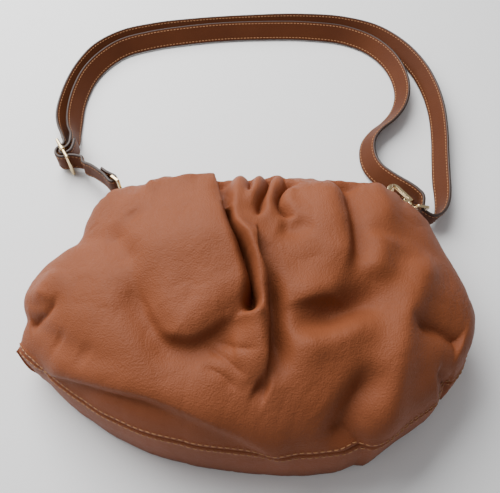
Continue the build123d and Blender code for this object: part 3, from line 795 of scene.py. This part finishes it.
    def stitches(self, centre: Array, up: Array, out: Array) -> None:
        """Both rows of stitches on both faces."""
        thread = THREAD.build()
        gathered = []
        for edge in (-1, 1):
            for face in (-1, 1):
                line = centre + up * edge * (self.width / 2 - self.stitch_inset)
                line = line + out * face * (self.thick / 2 + 0.06)
                gathered.append(stitch_row(line, out * face, self.stitch_pitch, 3.0))
        stitches = capsules("Strap stitches", *[np.concatenate(rows) for rows in zip(*gathered)],
                            (2.6, 0.75, 0.55))
        stitches.data.materials.append(thread)
        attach(stitches, "strap_body")


# ---- hardware

def rounded_copy(node: str, name: str, voxel_mm: float, passes: int) -> Object:
    """A copy of a frame node with its corners rounded.

    Args:
        node: the CAD node to copy.
        name: the copy's name.
        voxel_mm: the size of the even skin's cells.
        passes: how many times the skin is smoothed.

    Returns:
        The rounded object, with no material.
    """
    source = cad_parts[node]
    obj = bpy.data.objects.new(name, source.data.copy())
    bpy.context.scene.collection.objects.link(obj)
    remesh = obj.modifiers.new("Even skin", "REMESH")
    remesh.mode = "VOXEL"
    remesh.voxel_size = voxel_mm * MM
    smooth = obj.modifiers.new("Polish", "SMOOTH")
    smooth.iterations = passes
    smooth.factor = 0.6
    graph = bpy.context.evaluated_depsgraph_get()
    mesh = bpy.data.meshes.new_from_object(obj.evaluated_get(graph))
    obj.modifiers.clear()
    obj.data = mesh
    mesh.shade_smooth()
    mesh.materials.clear()
    return obj


@dataclass
class RingTab:
    """The leather tab that holds one strap ring at the end of the mouth."""

    hand: str
    root: tuple[float, float] = (101.0, 85.0)
    voxel_mm: float = 0.4

    def build(self) -> None:
        """The tab, rounded and dressed in leather, fixed where the frame puts it."""
        tab = rounded_copy(f"{self.hand}_ring_tab", f"{self.hand}_tab_leather", self.voxel_mm, 3)
        tab.data.materials.append(TAB_LEATHER.build())
        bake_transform(tab)
        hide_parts(f"{self.hand}_ring_tab")


@dataclass
class Hardware:
    """Cast and plated metal pieces, with their corners polished round."""

    voxel_mm: float = 0.22
    paired: dict[str, str] = field(default_factory=lambda: {
        "{}_ring": "{}_ring_body", "{}_hook_body": "{}_hook", "{}_hook_gate": "{}_gate",
        "{}_gate_pin": "{}_hook", "{}_hook_eye": "strap_body"})

    def polished(self, node: str, body: str, material: Material) -> Object:
        """A rounded, plated copy of a frame node that moves with one body."""
        obj = rounded_copy(node, node + "_cast", self.voxel_mm, 4)
        obj.data.materials.append(material)
        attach(obj, body)
        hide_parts(node)
        return obj

    def build(self) -> None:
        """All the gold pieces and the hidden frame."""
        gold = GOLD.build()
        bodies = {node.format(hand): body.format(hand)
                  for node, body in self.paired.items() for hand in ("right", "left")}
        bodies |= {"slider_frame": "slider", "slider_bar": "slider"}
        for node, body in bodies.items():
            piece = self.polished(node, body, gold)
            LOG.info("%s: %d faces", piece.name, len(piece.data.polygons))
        steel = FRAME_STEEL.build()
        plate = MAGNET_PLATE.build()
        for node in ("front_frame", "back_frame", "frame_pins"):
            self.refinish(node, steel)
        for node in ("front_magnets", "back_magnets"):
            self.refinish(node, plate)

    @staticmethod
    def refinish(node: str, material: Material) -> None:
        """A frame node kept as it is, in its own finish."""
        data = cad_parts[node].data
        data.materials.clear()
        data.materials.append(material)


# ---- leather bag

FOLDS = (
    Fold("left lobe body", ((-54, 79), (-47, 30), (-37, -14)), 8, 38, ends=(0.5, 0.5)),
    Fold("left lobe edge", ((-3, -26), (-5, -14), (-9, 3), (-14, 25), (-21, 50), (-27, 67),
         (-31, 84), (-37, 108)), 9, 32, lean=(6, 0), form=Form.BANK, ends=(0.2, 0.08)),
    Fold("slit beside the lobe", ((-21, 67), (-18, 50), (-12, 29), (-6, 7), (-3, -14), (-1, -27)),
         -27, 4.0, ends=(0.08, 0.15)),
    Fold("tucked pleat", ((-23, 106), (-20, 75), (-17, 55)), -7, 9, ends=(0.02, 0.3)),
    Fold("crease in the tucked pleat", ((-21, 97), (-15, 77), (-18, 66)), -2, 4, form=Form.CREASE,
         ends=(0.2, 0.2)),
    Fold("middle fold", ((-12, 60), (-7, 37), (-2, 19), (3, 0), (3, -14), (4, -36), (4, -59)), 5,
         7, ends=(0.15, 0.3)),
    Fold("middle fold edge", ((8, -75), (8, -49), (9, -27), (8, -8), (7, 5), (2, 19), (1, 33),
         (4, 50)), 8, 15, lean=(5, 0), form=Form.BANK, ends=(0.2, 0.15)),
    Fold("valley beside the middle fold", ((7, 18), (13, 1), (15, -18), (15, -36), (18, -56),
         (20, -74)), -13, 8, ends=(0.35, 0.35)),
    Fold("pocket below the middle fold", ((3, -71), (12, -75)), -5, 7, ends=(0.2, 0.2)),
    Fold("lip of the middle fold", ((-8, -22), (-2, -28), (5, -20)), 3, 5),
    Fold("first pleat", ((-8, 106), (-11, 86), (-13, 67), (-11, 50)), 6, 7, ends=(0.02, 0.4)),
    Fold("crease after the first pleat", ((1, 107), (-1, 77)), -7, 4, form=Form.CREASE,
         ends=(0.02, 0.5)),
    Fold("second pleat", ((8, 107), (4, 82), (0, 63)), 5, 6, ends=(0.02, 0.4)),
    Fold("crease after the second pleat", ((16, 107), (13, 89), (8, 72), (5, 52)), -13, 5,
         form=Form.CREASE, ends=(0.02, 0.3)),
    Fold("third pleat", ((21, 107), (16, 85), (14, 66), (14, 46)), 5, 7, ends=(0.02, 0.5)),
    Fold("crease after the third pleat", ((33, 100), (23, 84), (21, 70), (27, 58), (35, 54)), -13,
         5, form=Form.CREASE, ends=(0.05, 0.25)),
    Fold("curl of the third pleat", ((33, 89), (28, 77), (30, 65), (38, 60)), 2, 6,
         ends=(0.2, 0.3)),
    Fold("broad pleat", ((47, 106), (52, 68), (54, 25)), 3, 18, ends=(0.3, 0.5)),
    Fold("hollow in the broad pleat", ((19, 46), (31, 43), (46, 50)), -4, 8),
    Fold("peaked roll", ((61, 1), (64, 19), (67, 34), (68, 58), (67, 77), (64, 108)), 7, 26,
         lean=(3, 0), form=Form.SLOPE, ends=(0.25, 0.3)),
    Fold("hollow after the peaked roll", ((79, 104), (75, 69), (77, 40), (77, -1)), -8, 10,
         ends=(0.05, 0.4)),
    Fold("right shoulder roll", ((103, 107), (103, 65), (99, 39)), 5, 12, ends=(0.1, 0.4)),
    Fold("left shoulder roll", ((-89, 89), (-69, 101), (-43, 92)), 5, 9),
    Fold("hollow under the lobe", ((-83, 24), (-73, -17), (-58, -45), (-38, -49), (-24, -40),
         (-13, -33), (0, -38)), -9, 14, ends=(0.3, 0.2)),
    Fold("lower edge of the lobe", ((-78, 18), (-68, -14), (-56, -32), (-40, -36), (-29, -30),
         (-19, -23), (-10, -23), (0, -27)), 5, 22, lean=(0, -3), form=Form.SLOPE,
         ends=(0.35, 0.25)),
    Fold("loose crease one", ((-31, -43), (-17, -54), (-2, -68)), -3, 5, form=Form.CREASE),
    Fold("loose crease two", ((-24, -40), (-9, -48), (3, -50)), -2.5, 5, form=Form.CREASE),
    Fold("loose crease three", ((-34, -58), (-18, -65), (-7, -76)), -2.5, 5, form=Form.CREASE),
    Fold("sag on the right", ((18, -36), (34, -32), (51, -25), (68, -18), (86, -7), (98, 6)), -15,
         14, ends=(0.45, 0.4)),
    Fold("roll under the sag", ((21, -53), (41, -43), (65, -34), (89, -15)), 6, 12),
    Fold("roll above the sag", ((99, 48), (91, 18), (85, 3)), 5, 12),
    Fold("edge above the sag", ((17, -18), (41, -10), (55, -6), (67, -10), (76, -19)), 6, 16,
         lean=(0, -2), form=Form.SLOPE, ends=(0.5, 0.4)),
    Fold("right side roll", ((138, 38), (121, 4), (108, -21), (101, -43), (95, -66), (82, -90),
         (68, -103)), 7, 12, ends=(0.2, 0.2)),
    Fold("hollow beside the right side roll", ((87, -52), (79, -68), (68, -84), (60, -98),
         (60, -105)), -12, 10, ends=(0.45, 0.12)),
    Fold("right side crease", ((107, -20), (120, -27), (136, -29), (150, -36)), -9, 9,
         form=Form.CREASE, ends=(0.4, 0.05)),
    Fold("right corner gap", ((128, -57), (139, -60), (146, -59)), -6, 6, form=Form.CREASE,
         ends=(0.2, 0.1)),
    Fold("left side crease", ((-138, 2), (-142, -7), (-149, -14), (-163, -16)), -5, 6,
         form=Form.CREASE, ends=(0.4, 0.05)),
    Fold("left side lobe", ((-138, 22), (-150, 8), (-156, -5)), 4, 11),
    Fold("dimple one", ((-93, 68), (-84, 55)), -1.6, 7, ends=(0.4, 0.4)),
    Fold("hollow on the left shoulder", ((-106, 60), (-99, 37), (-86, 22), (-71, 13)), -5, 11,
         ends=(0.3, 0.4)),
    Fold("valley down the left shoulder", ((-125, 68), (-121, 41), (-118, 11)), -2.5, 10,
         ends=(0.4, 0.4)),
    Fold("dimple two", ((-139, -31), (-130, -36)), -1.2, 7, ends=(0.4, 0.4)),
    Fold("dimple three", ((-119, -43), (-107, -49)), -1.2, 7, ends=(0.4, 0.4)),
    Fold("edge above the base", ((-159, -42), (-143, -50), (-117, -59), (-91, -67), (-66, -74),
         (-42, -83), (-22, -90), (-4, -97), (16, -105), (34, -111)), 5, 13, form=Form.SLOPE,
         ends=(0.15, 0.1)),
    Fold("crease under that edge", ((-161, -43), (-142, -53), (-109, -66), (-91, -72), (-73, -78),
         (-56, -84), (-42, -89)), -3.5, 5, form=Form.CREASE, ends=(0.1, 0.25)),
    Fold("edge above the base, right", ((74, -102), (91, -89), (109, -78), (134, -64)), 4, 8,
         ends=(0.1, 0.1)),
)


@dataclass
class Bag:
    """The sewn bag: leather outside, lining inside, seams and stitches."""

    body: LeatherBody = field(default_factory=lambda: LeatherBody(folds=FOLDS))
    front_gap: float = 19.0
    back_gap: float = 4.0
    lining: float = 0.8
    sewn_reach: float = 9.0
    ring_room: float = 14.6
    ring_spans: Points = ((-13.0, 22.0), (226.0, 264.0))
    seam_row: float = 0.020
    seam_width: float = 2.4
    seam_depth: float = 1.4
    stitch_pitch: float = 4.6

    def outer(self) -> tuple[Array, Array]:
        """The finished front and back surfaces."""
        smooth = self.body.smooth_front()
        front = self.body.wrinkled(self.body.folded(smooth), smooth)
        front = self.seam_groove(front)
        front[..., 2] = np.maximum(front[..., 2], 0.3)
        back = self.tucked(self.sewn_to(front, self.body.flat_back()))
        return front, back[::-1]

    def tucked(self, back: Array) -> Array:
        """The back with room pressed in behind each ring, so that the rings can turn."""
        start = np.array([*RING_BARS["left"], RING_HEIGHT])
        along = unit_rows(np.array([[*RING_BARS["right"], RING_HEIGHT]]) - start)[0]
        away = np.array([-along[1], along[0], 0.0])
        place = (back - start) @ along
        out = (back - start) @ away
        high = back[..., 2] - RING_HEIGHT
        clear = -np.sqrt(np.clip(self.ring_room ** 2 - high ** 2, 0, None))
        press = np.where(np.abs(high) < self.ring_room, np.clip(out - clear, 0, None), 0)
        share = np.zeros(place.shape)
        for low, top in self.ring_spans:
            near = np.clip(np.minimum(place - low, top - place) / 8 + 1, 0, 1)
            share = np.maximum(share, near * near * (3 - 2 * near))
        return back - away * (press * share)[..., None]

    def sewn_to(self, front: Array, back: Array) -> Array:
        """The back with its base and both sides brought to the front's edges.

        Args:
            front: the finished front.
            back: the flat back, laid out like the front.

        Returns:
            The back, joined all round but for the mouth.
        """
        for axis, end in ((1, 0), (0, 0), (0, -1)):
            step = np.linalg.norm(np.diff(back, axis=axis), axis=-1)
            start = np.zeros_like(step.take([0], axis=axis))
            walked = np.concatenate([start, np.cumsum(step, axis=axis)], axis=axis)
            if end == -1:
                walked = walked[-1:] - walked
            fade = np.exp(-(walked / self.sewn_reach) ** 2)[..., None]
            edge = (front - back).take([end], axis=axis)
            back = back + edge * fade
        return back

    def seam_groove(self, front: Array) -> Array:
        """The front with the sunken line of the base seam."""
        row = self.seam_index()
        line = front[:, row]
        normal = grid_normals(front)
        for step in range(-9, 10):
            if not 0 < row + step < front.shape[1]:
                continue
            away = np.linalg.norm(front[:, row + step] - line, axis=1)
            sink = self.seam_depth * np.exp(-(away / (0.35 * self.seam_width)) ** 2)
            swell = 0.5 * np.exp(-((away - 3.2) / 2.2) ** 2)
            front[:, row + step] += normal[:, row + step] * (swell - sink)[:, None]
        return front

    def seam_index(self) -> int:
        """The grid row the base seam runs along."""
        return int(np.argmin(np.abs(self.body.shares()[1] - self.seam_row)))

    def build(self) -> None:
        """The leather, its lining and stitches."""
        front, back = self.outer()
        leather = BODY_LEATHER.build()
        lining = LINING.build()
        shell = thick_sheet("Front leather", front, self.body.leather)
        shell.data.materials.append(leather)
        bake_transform(shell)
        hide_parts("front_panel", "front_gather")
        under = thick_sheet("Back leather", back, self.body.leather)
        under.data.materials.append(leather)
        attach(under, "bag")
        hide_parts("back_panel", "back_gather", "base_panel")
        LOG.info("leather: %d faces", len(shell.data.polygons) + len(under.data.polygons))
        self.linings(back, lining)
        self.seam_stitches(front, shell)

    def linings(self, back: Array, cloth: Material) -> None:
        """The lining inside the front and inside the back."""
        for name, grid, gap in (("Front lining", self.body.smooth_front(), self.front_gap),
                                ("Back lining", back, self.back_gap)):
            loose = grid[::3, ::3]
            loose = loose - grid_normals(loose) * gap
            piece = thick_sheet(name, loose[7:-7, 6:-1], self.lining)
            piece.data.materials.append(cloth)
            if name == "Front lining":
                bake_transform(piece)
            else:
                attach(piece, "bag")
            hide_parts("lining")

    def seam_stitches(self, front: Array, shell: Object) -> None:
        """Two rows of stitches, one on each side of the base seam."""
        row = self.seam_index()
        normal = grid_normals(front)
        line = front[:, row]
        gathered = []
        for way in (-1, 1):
            offset = np.full(front.shape[0], row)
            for column in range(front.shape[0]):
                index = row
                while 1 < index < front.shape[1] - 2:
                    index += way
                    if np.linalg.norm(front[column, index] - line[column]) > 3.0:
                        break
                offset[column] = index
            columns = np.arange(front.shape[0])
            path = front[columns, offset]
            out = normal[columns, offset]
            path = rounded(path, 6)
            gathered.append(stitch_row(path + 0.1 * out, out, self.stitch_pitch, 8.0))
        stitches = capsules("Base seam stitches", *[np.concatenate(r) for r in zip(*gathered)],
                            (3.4, 0.9, 0.7))
        stitches.data.materials.append(THREAD.build())
        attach(stitches, "bag")


# ---- studio

@dataclass
class Studio:
    """A pale floor, soft light and the camera."""

    lens_mm: float = 43.2
    stand: tuple[float, float, float] = (0.0, -0.187, 0.4677)
    target: tuple[float, float, float] = (0.0, 0.083, 0.0)

    def build(self) -> None:
        """The floor, lights and camera."""
        self.floor()
        self.light("Window", (-0.55, 0.75, 0.95), (0.0, 0.08, 0.03), 1.2, 38.0)
        self.light("Fill", (-0.6, -0.4, 0.9), (0.0, 0.05, 0.03), 1.2, 0.8)
        world = bpy.data.worlds.new("Soft room")
        world.use_nodes = True
        shade = world.node_tree.nodes["Background"]
        shade.inputs["Color"].default_value = linear("#F4F5F7")
        shade.inputs["Strength"].default_value = 0.36
        bpy.context.scene.world = world
        camera = bpy.data.objects.new("Camera", bpy.data.cameras.new("Camera"))
        camera.data.lens = self.lens_mm
        camera.location = self.stand
        ahead = Vector(self.target) - Vector(self.stand)
        camera.rotation_euler = ahead.to_track_quat("-Z", "Y").to_euler()
        bpy.context.scene.collection.objects.link(camera)
        bpy.context.scene.camera = camera

    @staticmethod
    def floor() -> None:
        """A wide matt table top."""
        corners = np.array([(-3000, -3000, 0), (3000, -3000, 0), (3000, 3000, 0),
                            (-3000, 3000, 0)], float)
        floor = make_mesh("Table", corners, np.array([(0, 1, 2, 3)]))
        floor.data.materials.append(PlainFinish("Table, matt white laminate", "#F6F6F6",
                                                0.6).build())

    @staticmethod
    def light(name: str, place: tuple[float, float, float], aim: tuple[float, float, float],
              size: float, power: float) -> None:
        """One soft square light."""
        data = bpy.data.lights.new(name, "AREA")
        data.size = size
        data.energy = power
        obj = bpy.data.objects.new(name, data)
        obj.location = place
        obj.rotation_euler = (Vector(aim) - Vector(place)).to_track_quat("-Z", "Y").to_euler()
        bpy.context.scene.collection.objects.link(obj)


def main() -> None:
    """Builds every piece of the bag, then the studio round it."""
    logging.basicConfig(level=logging.INFO, format="%(name)s: %(message)s")
    Bag().build()
    LOG.info("bag built")
    Strap().build()
    LOG.info("strap built")
    Hardware().build()
    LOG.info("hardware built")
    RingTab("right").build()
    RingTab("left").build()
    LOG.info("ring tabs built")
    Studio().build()


if __name__ == "__main__":
    main()
